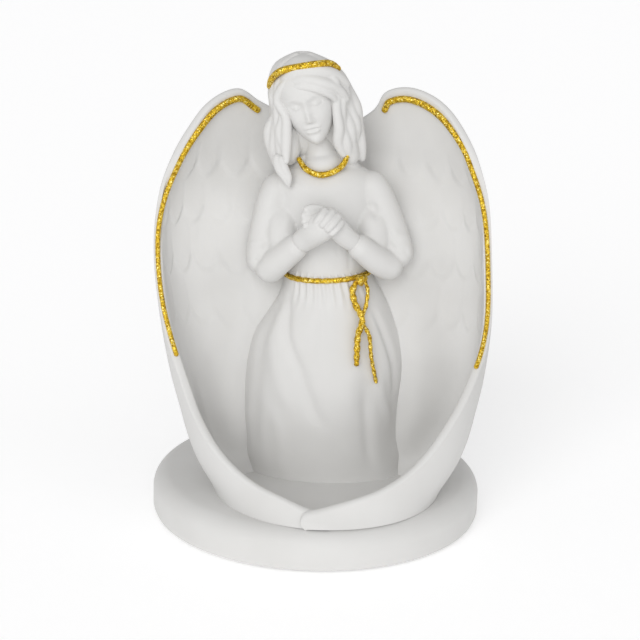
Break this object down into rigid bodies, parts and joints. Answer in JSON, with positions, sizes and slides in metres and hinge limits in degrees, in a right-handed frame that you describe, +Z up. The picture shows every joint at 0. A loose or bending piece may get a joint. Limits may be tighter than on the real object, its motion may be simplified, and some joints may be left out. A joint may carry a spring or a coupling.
{
  "type": "angel figurine",
  "caption": "White robed angel figurine with clasped hands and gold trim, wrapped in large wings that close in front into a small candle well, on a round base.",
  "frame": {"origin": "middle of the felt pad's lower face, on which the figurine stands", "axes": "+Z up; the figure faces -Y; its right side is at -X"},
  "size_m": [0.1273, 0.126, 0.1795],
  "materials": {
    "white_resin": "matt white cast resin",
    "gold_glitter": "raised gold glitter paint",
    "felt": "grey felt",
    "pin_steel": "plain steel"
  },
  "bodies": {
    "root": {"base_disc": "white_resin", "felt_pad": "felt", "base_pins": "pin_steel", "robe_skirt": "white_resin", "robe_bodice": "white_resin", "right_sleeve": "white_resin", "left_sleeve": "white_resin", "right_hand": "white_resin", "left_hand": "white_resin", "head": "white_resin", "hair": "white_resin", "chest_lock": "white_resin", "right_wing": "white_resin", "left_wing": "white_resin", "headband": "gold_glitter", "neckline": "gold_glitter", "rope_belt": "gold_glitter", "belt_knot": "gold_glitter", "short_tail": "gold_glitter", "long_tail": "gold_glitter", "right_wing_line": "gold_glitter", "left_wing_line": "gold_glitter"}
  },
  "joints": []
}
